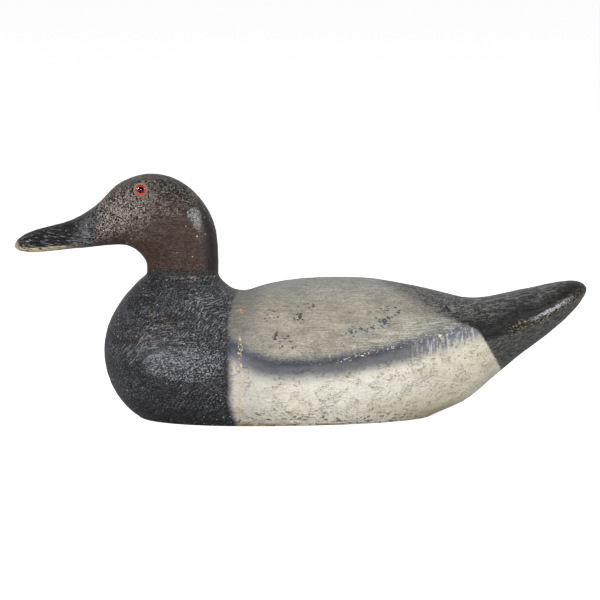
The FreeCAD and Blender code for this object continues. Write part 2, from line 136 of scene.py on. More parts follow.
def mouth_direction(point, seam_z, seam_way):
    """Which way the skin opens at a point on a rim: down, across the seam, or sideways at an eye."""
    if abs(point.z) < FLAT_TOLERANCE:
        return Vector((0, 0, -1))
    if abs(point.z - seam_z) < FLAT_TOLERANCE:
        return Vector((0, 0, seam_way))
    return Vector((0, math.copysign(1, point.y), 0))


def open_outwards(bm, seam_z, seam_way, eyes_too):
    """Lengthens the open rims straight past the skin, so that later cuts through it are clean."""
    rims = [e for e in bm.edges if e.is_boundary
            and (eyes_too or mouth_direction(e.verts[0].co, seam_z, seam_way).y == 0)]
    made = bmesh.ops.extrude_edge_only(bm, edges=rims)["geom"]
    for vert in [g for g in made if isinstance(g, bmesh.types.BMVert)]:
        vert.co += mouth_direction(vert.co, seam_z, seam_way) * SKIRT


def object_from(bm, name):
    mesh = bpy.data.meshes.new(name)
    bm.to_mesh(mesh)
    bm.free()
    obj = bpy.data.objects.new(name, mesh)
    bpy.context.scene.collection.objects.link(obj)
    return obj


def apply_modifiers(obj):
    """Bakes the modifiers into the mesh."""
    graph = bpy.context.evaluated_depsgraph_get()
    mesh = bpy.data.meshes.new_from_object(obj.evaluated_get(graph))
    obj.modifiers.clear()
    obj.data = mesh


def split_skin(node, seam_z, seam_way, in_socket):
    """The node's outer skin as a closed solid, and its hollows as closed cutters."""
    bm = bmesh.new()
    bm.from_mesh(nodes[node].data)
    bmesh.ops.remove_doubles(bm, verts=bm.verts, dist=0.001 * MM)
    flats = [f for f in bm.faces if any(
        all(abs(v.co.z - level) < FLAT_TOLERANCE for v in f.verts) for level in (0.0, seam_z))]
    bmesh.ops.delete(bm, geom=flats, context="FACES")
    bm.faces.index_update()
    sockets = [f for f in bm.faces if in_socket(f.calc_center_median())]
    rest = set(bm.faces) - set(sockets)
    skin_faces = islands(rest)[0]
    hollow_faces = set(bm.faces) - set(skin_faces)
    skin = without(bm, hollow_faces)
    hollows = without(bm, skin_faces)
    bm.free()
    open_outwards(skin, seam_z, seam_way, False)
    close_holes(skin)
    open_outwards(hollows, seam_z, seam_way, True)
    close_holes(hollows)
    return object_from(skin, node + "_skin"), object_from(hollows, node + "_hollows")


def remesh(obj, voxel):
    modifier = obj.modifiers.new("even", "REMESH")
    modifier.mode = "VOXEL"
    modifier.voxel_size = voxel
    apply_modifiers(obj)


def cut(obj, cutter):
    modifier = obj.modifiers.new("cut", "BOOLEAN")
    modifier.operation = "DIFFERENCE"
    modifier.solver = "MANIFOLD"
    modifier.object = cutter
    apply_modifiers(obj)
    bpy.data.objects.remove(cutter)


def slab(level, way):
    """A wide flat block whose face lies at that height. way says on which side of the face it is."""
    bm = bmesh.new()
    bmesh.ops.create_cube(bm, size=1.0)
    thickness = 3 * SKIRT
    for vert in bm.verts:
        vert.co = Vector((vert.co.x, vert.co.y, vert.co.z * thickness + level + way * thickness / 2))
    return object_from(bm, "slab")


def points_of(mesh):
    flat = np.zeros(len(mesh.vertices) * 3, np.float32)
    mesh.vertices.foreach_get("co", flat)
    return flat.reshape(-1, 3).astype(float)


def normals_of(mesh):
    flat = np.zeros(len(mesh.vertices) * 3, np.float32)
    mesh.vertex_normals.foreach_get("vector", flat)
    return flat.reshape(-1, 3).astype(float)


def smoothstep(value, low, high):
    t = np.clip((value - low) / (high - low), 0, 1)
    return t * t * (3 - 2 * t)


def noise_field(points, size, stretch=(1, 1, 1)):
    """Soft noise from -1 to 1 with features of about that size, in metres, longer where stretched."""
    shift = Vector((SEED * 3.1, SEED * 1.7, SEED * 0.9))
    scaled = points / (size * np.array(stretch))
    return np.array([noise.noise(Vector(p) + shift) for p in scaled])


def view_rise(points):
    """How far up the picture points show when the duck is looked at from its side, in metres."""
    return points[:, 2] * math.cos(TILT) - np.abs(points[:, 1]) * math.sin(TILT)


LOWEST_RISE = view_rise(points_of(nodes["hollow_body"].data)).min()


def view_height(points):
    """Height in millimetres as seen from a little above, counted from the lowest point in view."""
    return (view_rise(points) - LOWEST_RISE) / MM


def wing_line(x):
    """View height of the wing's lower edge at x, in millimetres."""
    behind = np.clip((x + 6) / 128, 0, 1.1) ** 1.6 * 26.5
    ahead = np.clip((-6 - x) / 33, 0, 2) ** 2.2 * 7.6
    return 45.2 + behind + ahead


def ridge_line(x):
    """View height of the ridge along the side of the tail at x, in millimetres."""
    along = np.maximum(x - 155.5, -40)
    return 71.6 + 0.36 * along + 0.0036 * along ** 2


def body_relief(points):
    """Wing edge, tail ridge, brush marks and knocks, in millimetres out of the surface."""
    x = points[:, 0] / MM
    height = view_height(points)
    above = height - wing_line(x)
    along = smoothstep(x, -50, -30) * smoothstep(-x, -125, -95)
    wing = 0.7 * along * smoothstep(above, -2.0, 2.0) * smoothstep(-above, -45, -10)
    off_ridge = np.abs(height - ridge_line(x))
    ridge = 1.1 * np.exp(-off_ridge / 3.0) * smoothstep(x, 138, 158)
    strokes = 0.10 * noise_field(points, 3.2 * MM, (5, 2, 1))
    knocks = smoothstep(noise_field(points, 8 * MM, (1.6, 1, 0.8)), 0.42, 0.62)
    edge = smoothstep(-height, -14, -7)
    return wing + ridge + strokes - knocks * (0.25 + 0.55 * edge)


def head_relief(points):
    """Furrows along the bill and small knife marks, in millimetres out of the surface."""
    x = points[:, 0] / MM
    on_bill = smoothstep(-x, 146, 154)
    lean = math.radians(14)
    along = points.copy()
    along[:, 0] = points[:, 0] * math.cos(lean) - points[:, 2] * math.sin(lean)
    along[:, 2] = points[:, 0] * math.sin(lean) + points[:, 2] * math.cos(lean)
    furrows = noise_field(along, 2.2 * MM, (4, 1.6, 1))
    marks = noise_field(points, 2.6 * MM, (1.5, 1, 0.8))
    return 0.22 * furrows * on_bill + 0.10 * marks * (1 - on_bill)


def no_swell(points):
    """For a skin that keeps its width."""
    return 0.0


def brow_swell(points):
    """How far the head swells sideways above each eye to meet the rim of its putty, in metres."""
    out = np.abs(points[:, 1])
    swell = np.zeros(len(points))
    for eye in EYES.values():
        away = np.hypot(points[:, 0] - eye.x, points[:, 2] - eye.z) - EYE_PUTTY_R
        near = smoothstep(-away, -BROW_REACH, -0.5 * MM) * (points[:, 1] * eye.y > 0)
        swell += near * np.clip(EYE_PUTTY_Y - PUTTY_PROUD - out, 0, BROW_LIMIT)
    return swell * smoothstep(out, 4 * MM, 12 * MM) * np.sign(points[:, 1])


def carve(obj, seam_z, relief, swell):
    """Hand-carved unevenness, left out next to the flats so that the joints stay true."""
    points = points_of(obj.data)
    normals = normals_of(obj.data)
    to_flat = np.minimum(points[:, 2], abs(points[:, 2] - seam_z))
    push = 0.35 * noise_field(points, 22 * MM) + 0.14 * noise_field(points, 7 * MM) + relief(points)
    points += normals * (push * smoothstep(to_flat, 0.3 * MM, 4 * MM) * MM)[:, None]
    points[:, 1] += swell(points)
    obj.data.vertices.foreach_set("co", points.astype(np.float32).ravel())
    obj.data.update()


def make_skin(node, name, body, voxel, seam_z, seam_way, in_socket, relief, swell):
    """The painted piece that stands for a CAD node: its carved outside, with the node's own hollows."""
    skin, hollows = split_skin(node, seam_z, seam_way, in_socket)
    remesh(skin, voxel)
    carve(skin, seam_z, relief, swell)
    cut(skin, slab(seam_z, seam_way))
    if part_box(node)[0].z < MM:
        cut(skin, slab(0.0, -1))
    skin.data.materials.clear()
    skin.data.materials.append(bpy.data.materials.new(name))
    hollows.data.materials.append(bpy.data.materials.new(name + "_inside"))
    cut(skin, hollows)
    skin.name = name
    skin.data.polygons.foreach_set("use_smooth", [True] * len(skin.data.polygons))
    skin.data.set_sharp_from_angle(angle=math.radians(50))
    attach(skin, body)
    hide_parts(node)
    return skin


def in_eye_socket(point):
    return any(math.hypot(point.x - eye.x, point.z - eye.z) < EYE_PUTTY_R + SOCKET_MARGIN
               and point.y * eye.y > 0 and abs(point.y) > SOCKET_START for eye in EYES.values())


body_skin = make_skin("hollow_body", "painted_body", "hull", BODY_VOXEL, SEAM_Z, 1,
                      lambda point: False, body_relief, no_swell)
head_skin = make_skin("head", "painted_head", "turning_head", HEAD_VOXEL, HEAD_SEAM_Z, -1,
                      in_eye_socket, head_relief, brow_swell)


# ------------------------------------------------------------------ material graphs
def srgb(red, green, blue):
    """Linear colour from 0 to 255 screen values."""
    def linear(value):
        share = value / 255
        return share / 12.92 if share <= 0.04045 else ((share + 0.055) / 1.055) ** 2.4
    return linear(red), linear(green), linear(blue), 1.0


class Paint:
    """One material's node graph. Lengths are in millimetres of the object's own frame."""

    def __init__(self, name):
        self.material = bpy.data.materials.get(name) or bpy.data.materials.new(name)
        self.material.use_nodes = True
        self.tree = self.material.node_tree
        self.tree.nodes.clear()
        metres = self.add("ShaderNodeTexCoord").outputs["Object"]
        self.place = self.vector("SCALE", metres, scale=1000.0)
        self.x = self.add("ShaderNodeSeparateXYZ", Vector=self.place).outputs["X"]

    def add(self, kind, settings=(), **values):
        node = self.tree.nodes.new(kind)
        for key, value in dict(settings).items():
            setattr(node, key, value)
        for key, value in values.items():
            self.feed(node.inputs[key.replace("_", " ")], value)
        return node

    def feed(self, socket, value):
        if isinstance(value, bpy.types.NodeSocket):
            self.tree.links.new(value, socket)
        else:
            socket.default_value = value

    def vector(self, operation, first, second=(0, 0, 0), scale=None):
        node = self.add("ShaderNodeVectorMath", {"operation": operation})
        self.feed(node.inputs[0], first)
        if scale is None:
            self.feed(node.inputs[1], second)
        else:
            self.feed(node.inputs["Scale"], scale)
        return node.outputs[0]

    def math(self, operation, first, second=0.0, clamp=False):
        node = self.add("ShaderNodeMath", {"operation": operation, "use_clamp": clamp})
        self.feed(node.inputs[0], first)
        self.feed(node.inputs[1], second)
        return node.outputs[0]

    def plus(self, *values):
        total = values[0]
        for value in values[1:]:
            total = self.math("ADD", total, value)
        return total

    def times(self, *values):
        total = values[0]
        for value in values[1:]:
            total = self.math("MULTIPLY", total, value)
        return total

    def less(self, value):
        """One minus the value."""
        return self.math("SUBTRACT", 1.0, value)

    def wave(self, value, amount):
        """Noise turned into a number that swings by about amount round zero."""
        return self.times(self.plus(value, -0.5), 4 * amount)

    def threads(self, value, width):
        """Thin winding lines, where noise crosses its middle. width is their share of the noise."""
        return self.ramp(self.math("ABSOLUTE", self.wave(value, 1.0)), width, width * 0.2)

    def near(self, value, centre, reach):
        """1 where the value is at centre, falling to 0 at reach from it."""
        return self.ramp(self.math("ABSOLUTE", self.plus(value, -centre)), reach, reach * 0.3)

    def patch(self, x, height, reach_x, reach_height):
        """Soft oval region on the side: 1 in the middle, 0 at its rim."""
        across = self.times(self.plus(self.x, -x), 1 / reach_x)
        up = self.times(self.plus(self.field("height"), -height), 1 / reach_height)
        return self.ramp(self.plus(self.times(across, across), self.times(up, up)), 1.0, 0.35)

    def field(self, name):
        """A number stored at the mesh's points."""
        node = self.add("ShaderNodeAttribute", {"attribute_type": "GEOMETRY", "attribute_name": name})
        return node.outputs["Fac"]

    def ramp(self, value, low, high, start=0.0, end=1.0):
        """Soft step from start to end as the value goes from low to high."""
        node = self.add("ShaderNodeMapRange", {"interpolation_type": "SMOOTHSTEP"})
        for key, number in (("Value", value), ("From Min", low), ("From Max", high),
                            ("To Min", start), ("To Max", end)):
            self.feed(node.inputs[key], number)
        return node.outputs["Result"]

    def turned(self, degrees):
        """The place, turned about Y, so that X runs along strokes at that angle."""
        node = self.add("ShaderNodeVectorRotate", {"rotation_type": "Y_AXIS"}, Vector=self.place,
                        Angle=math.radians(degrees))
        return node.outputs["Vector"]

    def noise(self, size, detail=2.0, roughness=0.5, shift=0.0, turn=0.0, distortion=0.0):
        """Noise from 0 to 1. size is one feature's size, or its three sizes along the turned axes."""
        sizes = size if isinstance(size, tuple) else (size, size, size)
        start = self.turned(turn) if turn else self.place
        moved = self.vector("ADD", start, (shift, shift * 0.7, shift * 1.3))
        scaled = self.vector("MULTIPLY", moved, tuple(1 / s for s in sizes))
        node = self.add("ShaderNodeTexNoise", Vector=scaled, Scale=1.0, Detail=detail,
                        Roughness=roughness, Distortion=distortion)
        return node.outputs["Fac"]

    def flecks(self, cell, radius, density, shift=0.0, stretch=(1, 1, 1), ragged=0.35):
        """Scattered ragged spots. One may sit in each cell; density is the share of cells that have one."""
        moved = self.vector("ADD", self.place, (shift, shift * 0.7, shift * 1.3))
        scaled = self.vector("MULTIPLY", moved, tuple(1 / (cell * s) for s in stretch))
        node = self.add("ShaderNodeTexVoronoi", Vector=scaled, Scale=1.0, Randomness=1.0)
        chance = self.add("ShaderNodeSeparateColor", Color=node.outputs["Color"])
        rough = self.times(self.plus(self.noise(radius * 0.8, 2.0, 0.6, shift), -0.5), ragged * 2 * radius)
        away = self.plus(self.times(node.outputs["Distance"], cell), rough)
        reach = self.times(self.plus(chance.outputs["Green"], 0.35), radius)
        inside = self.ramp(self.math("SUBTRACT", reach, away), -0.12, 0.18)
        chosen = self.math("LESS_THAN", chance.outputs["Red"], density)
        return self.times(inside, chosen)

    def mix(self, first, second, share, blend="MIX"):
        node = self.add("ShaderNodeMix", {"data_type": "RGBA", "blend_type": blend})
        self.feed(node.inputs[0], share)
        self.feed(node.inputs[6], first)
        self.feed(node.inputs[7], second)
        return node.outputs[2]

    def shade(self, color, amount):
        """Colour made lighter or darker by amount, a number round zero."""
        factor = self.plus(amount, 1.0)
        grey = self.add("ShaderNodeCombineColor", Red=factor, Green=factor, Blue=factor)
        return self.mix(color, grey.outputs["Color"], 1.0, "MULTIPLY")

    def finish(self, color, roughness, height=None, film=0.0, **extra):
        """Connects the surface. height is its relief in millimetres, film a smoother gloss over it."""
        surface = self.add("ShaderNodeBsdfPrincipled")
        self.feed(surface.inputs["Base Color"], color)
        self.feed(surface.inputs["Roughness"], roughness)
        self.feed(surface.inputs["Coat Weight"], film)
        self.feed(surface.inputs["Coat Roughness"], FILM_ROUGHNESS)
        for key, value in extra.items():
            self.feed(surface.inputs[key.replace("_", " ")], value)
        if height is not None:
            for normal, strength in (("Normal", 1.0), ("Coat Normal", FILM_RELIEF)):
                relief = self.add("ShaderNodeBump", Height=height, Distance=MM, Strength=strength)
                self.feed(surface.inputs[normal], relief.outputs["Normal"])
        output = self.add("ShaderNodeOutputMaterial")
        self.tree.links.new(surface.outputs["BSDF"], output.inputs["Surface"])
        return self.material


def store(obj, name, values):
    attribute = obj.data.attributes.new(name, "FLOAT", "POINT")
    attribute.data.foreach_set("value", values.astype(np.float32))


def soft_lower(first, second, reach):
    """The lower of two values, with a rounded corner."""
    return 0.5 * (first + second - np.sqrt((first - second) ** 2 + reach ** 2))


def body_fields(obj):
    """Distances in millimetres from the lines where the body's paint changes colour."""
    points = points_of(obj.data)
    x = points[:, 0] / MM
    height = view_height(points)
    high_up = np.clip((height - 60) / 35, 0, 1.3)
    low_down = np.clip((25 - height) / 25, 0, 1)
    front_line = -51.3 + 5 * high_up ** 3 + 6 * low_down ** 2
    low_tail = 129.7 + 0.57 * (70 - height)
    high_tail = 129.7 - 1.6 * (height - 70)
    store(obj, "height", height)
    store(obj, "wing", height - wing_line(x))
    store(obj, "front", x - front_line)
    store(obj, "tail", x - soft_lower(low_tail, high_tail, 4.0))
    store(obj, "ridge", height - ridge_line(x))
    store(obj, "tip", x.max() - x)
    store(obj, "seam", SEAM_Z / MM - points[:, 2] / MM)


def lower_edge(x, height):
    """The lowest view height found at each x, in millimetres."""
    step = 2.0
    slot = np.floor((x - x.min()) / step).astype(int)
    lowest = np.full(slot.max() + 1, 1e9)
    np.minimum.at(lowest, slot, height)
    centres = x.min() + (np.arange(len(lowest)) + 0.5) * step
    return np.interp(x, centres, lowest)


def head_fields(obj):
    points = points_of(obj.data)
    x = points[:, 0] / MM
    height = view_height(points)
    store(obj, "height", height)
    store(obj, "bill", -148.6 - x + 0.12 * (height - 142))
    store(obj, "nape", x + 66 + 0.06 * (height - 115))
    store(obj, "collar", height - 113.0)
    store(obj, "cheek", 0.8 * (147.5 - height) + 0.42 * (x + 102))
    store(obj, "lip", height - lower_edge(x, height))
    store(obj, "seam", points[:, 2] / MM - SEAM_Z / MM)


FILM_ROUGHNESS = 0.27
FILM_RELIEF = 0.30
PLAIN_GLOSS = 0.5
OLD_PAINT_GLOSS = 0.22
BLACK = srgb(7, 8, 11)
# pale colour of the black paint's brush ridges: partly paint, partly a painted glint
BRUSHED_BLACK_AND_GLINT = srgb(140, 143, 152)
BARE_WOOD = srgb(196, 164, 116)
YELLOW_WOOD = srgb(214, 164, 84)
OLD_DARK = srgb(50, 44, 36)
CORD_X = -43.4

# places worn through to older coats: colour, x, view height, reach along and up, and whether one
# bigger chip sits in the middle
OLD_COATS = (
    (srgb(70, 44, 34), -21, 80, 7, 6, False),
    (srgb(58, 32, 26), 0, 79, 6, 6, True),
    (srgb(74, 46, 34), 4, 87, 8, 3, False),
    (srgb(32, 66, 74), 37, 68, 5, 5, True),
    (srgb(32, 66, 74), 48, 71, 8, 5, False),
    (srgb(30, 62, 70), 61, 76, 9, 6, True),
    (srgb(48, 60, 62), 66, 83, 11, 5, False),
    (srgb(46, 40, 34), -18, 65, 3, 7, True),
    (srgb(60, 54, 46), -10, 60, 9, 7, False),
    (srgb(184, 144, 108), -43, 84, 5, 4, True),
)


def body_marks(p):
    """The noises that the body's coats of paint, its wear and its relief share."""
    return SimpleNamespace(
        blotch=p.noise((26, 26, 12), 4.0, 0.6, 40),
        mottle=p.noise((4.2, 4.0, 2.4), 5.0, 0.72, 90),
        fine=p.noise((1.7, 1.6, 0.8), 3.0, 0.7, 70),
        pebbles=p.noise((1.3, 1.3, 0.9), 2.0, 0.6, 33),
        upright=p.noise((1.9, 3, 16), 2.0, 0.6, 60),
        level_strokes=p.noise((16, 5, 0.75), 3.0, 0.7),
        rising_strokes=p.noise((9, 3, 0.9), 1.5, 0.5, 10, turn=52),
        falling_strokes=p.noise((8, 3, 0.9), 1.5, 0.5, 20, turn=12),
        tail_strokes=p.noise((7, 4, 0.9), 3.0, 0.7, 170, turn=10))


def crossed_strokes(p, brush):
    """The breast's brush strokes, which rise in some places and fall in others."""
    falls = p.ramp(p.noise(24.0, 2.0, 0.5, 150), 0.44, 0.56)
    return p.plus(p.times(brush.rising_strokes, p.less(falls)), p.times(brush.falling_strokes, falls))


def shoulder_gloss_and_highlight(p):
    """Where the breast's black is polished by handling, and where its brush strokes carry a painted
    highlight.
    """
    return p.math("MAXIMUM", p.patch(-62, 84, 32, 20), p.times(p.patch(-100, 55, 36, 22), 0.7))


def body_areas(p, brush):
    """Where each coat of the body's paint lies, as shares from 0 to 1, with ragged edges.

    height, wing and front are distances in millimetres.
    """
    height = p.field("height")
    ragged = p.wave(p.noise(2.4, 3.0, 0.65), 1.0)
    wing = p.plus(p.field("wing"), p.times(ragged, 0.7))
    front = p.plus(p.field("front"), p.times(ragged, 0.7), p.wave(brush.blotch, 1.0))
    tail = p.plus(p.field("tail"), p.times(ragged, 0.8))
    low = p.ramp(height, 62, 52)
    on_breast = p.ramp(front, p.plus(p.times(low, 2.2), 2.2), -2.4)
    soft_top = p.ramp(height, 68, 82)
    scuffs = p.wave(p.noise((6, 4, 1.2), 3.0, 0.7, 140), 5.0)
    scuffed = p.plus(tail, p.times(scuffs, p.plus(soft_top, 0.1)))
    on_tail = p.ramp(scuffed, p.plus(-1.2, p.times(soft_top, -24.0)), 1.2)
    on_black = p.math("MAXIMUM", on_breast, on_tail)
    return SimpleNamespace(height=height, wing=wing, front=front, breast=on_breast, tail=on_tail,
                           black=on_black, pale=p.less(on_black), back=p.ramp(wing, -1.4, 1.4))


def grey_back(p, brush, on):
    """Beige in the middle, cooler along its top, where a painted reflection of the pale room lies, and
    darker towards both ends.
    """
    grey = p.mix(srgb(155, 149, 135), srgb(140, 136, 124), p.ramp(brush.blotch, 0.40, 0.60))
    # painted reflection: paler, cooler grey along the top of the back
    grey = p.mix(grey, srgb(150, 150, 147), p.ramp(on.height, 88, 108, 0, 0.9))
    to_breast = p.ramp(p.plus(on.front, p.wave(brush.blotch, 8)), 30, 0, 0, 0.75)
    grey = p.mix(grey, srgb(98, 98, 96), to_breast)
    to_tail = p.ramp(p.plus(p.x, p.wave(brush.blotch, 8)), 66, 104, 0, 0.6)
    grey = p.mix(grey, srgb(112, 111, 106), to_tail)
    marks = p.plus(p.wave(brush.mottle, 0.24), p.wave(brush.level_strokes, 0.30), p.wave(brush.fine, 0.42))
    grey = p.shade(grey, marks)
    pale_strokes = p.ramp(p.plus(brush.level_strokes, p.wave(brush.fine, 0.10)), 0.50, 0.60)
    above_wing_edge = p.ramp(p.plus(p.field("wing"), p.wave(brush.blotch, 6)), 24, 4)
    streaks = p.times(pale_strokes, p.ramp(p.x, 24, 60), above_wing_edge)
    return p.mix(grey, srgb(184, 184, 178), p.times(streaks, 0.75))


def white_side(p, brush, on):
    """Off-white, darker towards the breast as painted shade, yellower towards the tail and stained in drips
    near the bottom.
    """
    # painted shade: the white is darker towards the breast
    white = p.mix(srgb(190, 186, 176), srgb(220, 216, 203), p.ramp(p.x, -44, 12))
    cream = p.times(p.ramp(brush.blotch, 0.46, 0.70), p.ramp(p.x, -35, 10))
    white = p.mix(white, srgb(212, 204, 185), cream)
    white = p.mix(white, srgb(214, 206, 182), p.ramp(p.x, 60, 130, 0, 0.6))
    low_rear = p.times(p.ramp(on.height, 26, 4), p.ramp(p.x, 20, 110), 0.5)
    white = p.mix(white, srgb(188, 176, 142), low_rear)
    marks = p.plus(p.wave(brush.mottle, 0.12), p.wave(brush.level_strokes, 0.12), p.wave(brush.fine, 0.24))
    white = p.shade(white, marks)
    drips = p.times(p.ramp(brush.upright, 0.60, 0.74), p.ramp(on.height, 34, 8))
    return p.mix(white, srgb(184, 154, 104), p.times(drips, 0.5))


def wing_band(p, brush, on, coat):
    """The dark band along the wing's lower edge: quick to fade upwards, slow to fade downwards."""
    loose = p.plus(on.wing, p.wave(brush.fine, 1.6), p.wave(brush.blotch, 1.6))
    above_edge = p.ramp(loose, 7.5, -0.5)
    below_edge = p.plus(p.times(p.ramp(loose, -17.0, -6.0), 0.88),
                        p.times(p.ramp(loose, -5.0, -0.5), 0.10))
    to_rear = p.ramp(p.x, 70, 100)
    blue_grey = p.mix(srgb(50, 57, 73), srgb(80, 88, 108), to_rear)
    blue_grey = p.shade(blue_grey, p.plus(p.wave(brush.mottle, 0.22), p.wave(brush.fine, 0.34)))
    washed_off = p.times(p.ramp(brush.upright, 0.44, 0.66), to_rear, 0.55)
    return p.mix(coat, blue_grey, p.times(above_edge, below_edge, p.less(washed_off)))


def black_breast(p, brush, on, crossed, shoulder_gloss_highlight):
    """Black, with lighter ridges where crossed brush strokes and stippling left them. Their pale colour is
    partly a painted glint; it is brighter in a painted highlight on the breast's bulge and at the shoulder,
    and fades low down as painted shade.
    """
    # painted highlight on the breast's bulge, where the stippling turns lighter
    painted_sheen = p.patch(-82, 45, 34, 15)
    strokes = p.times(p.ramp(crossed, 0.53, 0.66), p.plus(p.times(shoulder_gloss_highlight, 0.60), 0.20))
    stipple = p.times(p.ramp(brush.pebbles, 0.48, 0.62), p.plus(0.34, p.times(painted_sheen, 0.50)))
    # painted shade: the lighter ridges fade towards the bottom of the breast
    brushed = p.times(p.plus(strokes, stipple), p.ramp(on.height, 4, 44, 0.75, 1.0),
                      p.ramp(brush.blotch, 0.34, 0.62, 0.6, 1.2))
    return p.mix(BLACK, BRUSHED_BLACK_AND_GLINT, brushed)


def black_tail(p, brush):
    """Deep black just above the ridge, dusty higher up and dull grey below it."""
    level_marks = p.plus(p.times(p.ramp(brush.tail_strokes, 0.50, 0.60), 0.40),
                         p.times(p.ramp(brush.mottle, 0.50, 0.62), 0.28),
                         p.times(p.ramp(brush.fine, 0.48, 0.62), 0.36))
    dust = p.ramp(p.plus(p.field("ridge"), p.wave(brush.blotch, 6)), 6, 24, 0.12, 1.25)
    top = p.mix(srgb(5, 5, 6), srgb(140, 140, 137), p.times(level_marks, dust))
    under_marks = p.plus(p.times(p.ramp(brush.tail_strokes, 0.48, 0.60), 0.4),
                         p.times(p.ramp(brush.fine, 0.46, 0.62), 0.45))
    under = p.mix(srgb(44, 45, 45), srgb(132, 132, 128), under_marks)
    return p.mix(top, under, p.ramp(p.field("ridge"), -1, -6, 0, 0.9))


def body_damage(p, brush, on):
    """Where the body's paint is specked, scratched, nicked, flaked, polished or chipped away, and where a
    painted highlight lies along the tail's ridge.
    """
    scratches = p.threads(p.noise((5.5, 4.0, 1.4), 3.0, 0.65, 120, distortion=0.8), 0.14)
    scratched = p.ramp(p.noise(9.0, 2.0, 0.5, 130), 0.44, 0.54)
    nicked = p.ramp(p.noise(10.0, 2.0, 0.5, 160), 0.50, 0.58)
    flaked = p.ramp(p.noise((5.0, 4.0, 2.2), 4.0, 0.7, 55), 0.57, 0.61)
    on_ridge = p.near(p.plus(p.field("ridge"), p.wave(brush.fine, 1.2), p.wave(brush.mottle, 1.6)), 0.4, 2.1)
    beside_ridge = p.near(p.plus(p.field("ridge"), p.wave(brush.mottle, 3.0)), -1.6, 6.0)
    along_ridge = p.times(beside_ridge, p.ramp(p.field("tip"), 66, 50))
    rubbed = p.times(p.math("MAXIMUM", along_ridge, p.ramp(p.field("tip"), 7.0, 1.0)), on.tail)
    chipped = p.ramp(p.noise((1.7, 1.6, 1.2), 3.0, 0.7, 81), 0.56, 0.61)
    return SimpleNamespace(
        specks=p.times(p.flecks(2.3, 0.42, 0.65, 3), p.ramp(p.x, -60, 120, 0.6, 1.0)),
        tracks=p.times(scratches, scratched, p.ramp(brush.mottle, 0.40, 0.54)),
        nicks=p.times(p.ramp(brush.mottle, 0.58, 0.64), nicked, p.less(on.back)),
        flakes=p.times(flaked, p.ramp(on.height, 13, 7)),
        polished_ridge_and_highlight=p.times(on_ridge, p.ramp(p.x, 160, 180), p.ramp(p.x, 200, 188)),
        tail_chips=p.times(chipped, rubbed))


def pale_wear(p, on, damage, coat):
    """Dark specks, scratches and nicks in the grey and white paint."""
    coat = p.mix(coat, OLD_DARK, p.times(damage.specks, 0.8, on.pale))
    less_on_back = p.less(p.times(on.back, 0.6))
    coat = p.mix(coat, srgb(104, 94, 72), p.times(damage.tracks, less_on_back, 0.75, on.pale))
    return p.mix(coat, srgb(92, 84, 66), p.times(damage.nicks, 0.5, on.pale))


def back_chips(p, brush, coat):
    """Chips in the back that show older coats of other colours."""
    chips = p.flecks(1.9, 0.80, 0.75, 23, (1.5, 1, 0.9), 0.9)
    for color, x, up, reach_x, reach_up, big_chip in OLD_COATS:
        worn_through = chips
        if big_chip:
            middle = p.patch(x, up, reach_x * 0.28, reach_up * 0.38)
            core = p.plus(middle, p.wave(brush.fine, 0.6), p.wave(brush.mottle, 0.6))
            worn_through = p.math("MAXIMUM", chips, p.ramp(core, 0.55, 0.75))
        inside = p.ramp(p.patch(x, up, reach_x, reach_up), 0.1, 0.6)
        coat = p.mix(coat, color, p.times(worn_through, inside, 0.9))
    return coat


def cord_line(p, brush, on, coat):
    """A thin upright line behind the breast where the paint is torn down to yellow wood."""
    torn = p.ramp(p.noise((1.2, 2.0, 2.2), 3.0, 0.75, 31), 0.51, 0.57)
    line = p.near(p.plus(p.x, p.wave(brush.mottle, 1.6)), CORD_X, 1.6)
    cord = p.times(line, p.ramp(on.height, 70, 62), p.ramp(on.height, 6, 9))
    wood_color = p.mix(YELLOW_WOOD, srgb(236, 214, 158), p.ramp(on.height, 34, 44))
    return p.mix(coat, wood_color, p.times(torn, cord, 0.9))


def wing_chips(p, brush, on, coat):
    """Pale chips along the wing's lower edge."""
    at_edge = p.near(p.plus(p.field("wing"), p.wave(brush.mottle, 2.5)), 0.5, 4.4)
    crest = p.times(at_edge, p.ramp(p.x, 4, 20), on.pale)
    chipped = p.ramp(p.noise((2.8, 2.6, 1.9), 3.0, 0.7, 51), 0.61, 0.64)
    return p.mix(coat, srgb(226, 208, 164), p.times(chipped, crest))


def breast_wear(p, on, coat):
    """Pale flecks, a rubbed place, and paint cracked away in a ring at the neck seam."""
    coat = p.mix(coat, srgb(178, 172, 158), p.times(p.flecks(3.4, 0.50, 0.65, 71), on.breast, 0.8))
    rubbed = p.ramp(p.noise((7.0, 5.0, 2.0), 3.0, 0.7, 77), 0.56, 0.66)
    coat = p.mix(coat, srgb(168, 128, 92), p.times(rubbed, p.patch(-108, 72, 20, 14), 0.35))
    loose = p.times(p.ramp(p.noise((1.8, 1.8, 1.6), 3.0, 0.7, 84), 0.52, 0.58), p.ramp(p.x, -98, -92))
    cracked = p.times(p.ramp(p.field("seam"), 1.0, 0.4), loose)
    return p.mix(coat, srgb(190, 172, 136), p.times(cracked, 0.6))


def tail_wear(p, brush, damage, coat):
    """A painted highlight along the tail's ridge, which is also polished by handling, and pale chips along
    it and round the tip.
    """
    # painted highlight: a near-white strip along the ridge
    glint = p.times(damage.polished_ridge_and_highlight, p.ramp(brush.fine, 0.42, 0.54), 0.85)
    coat = p.mix(coat, srgb(222, 224, 228), glint)
    return p.mix(coat, srgb(190, 170, 132), p.times(damage.tail_chips, 0.85))


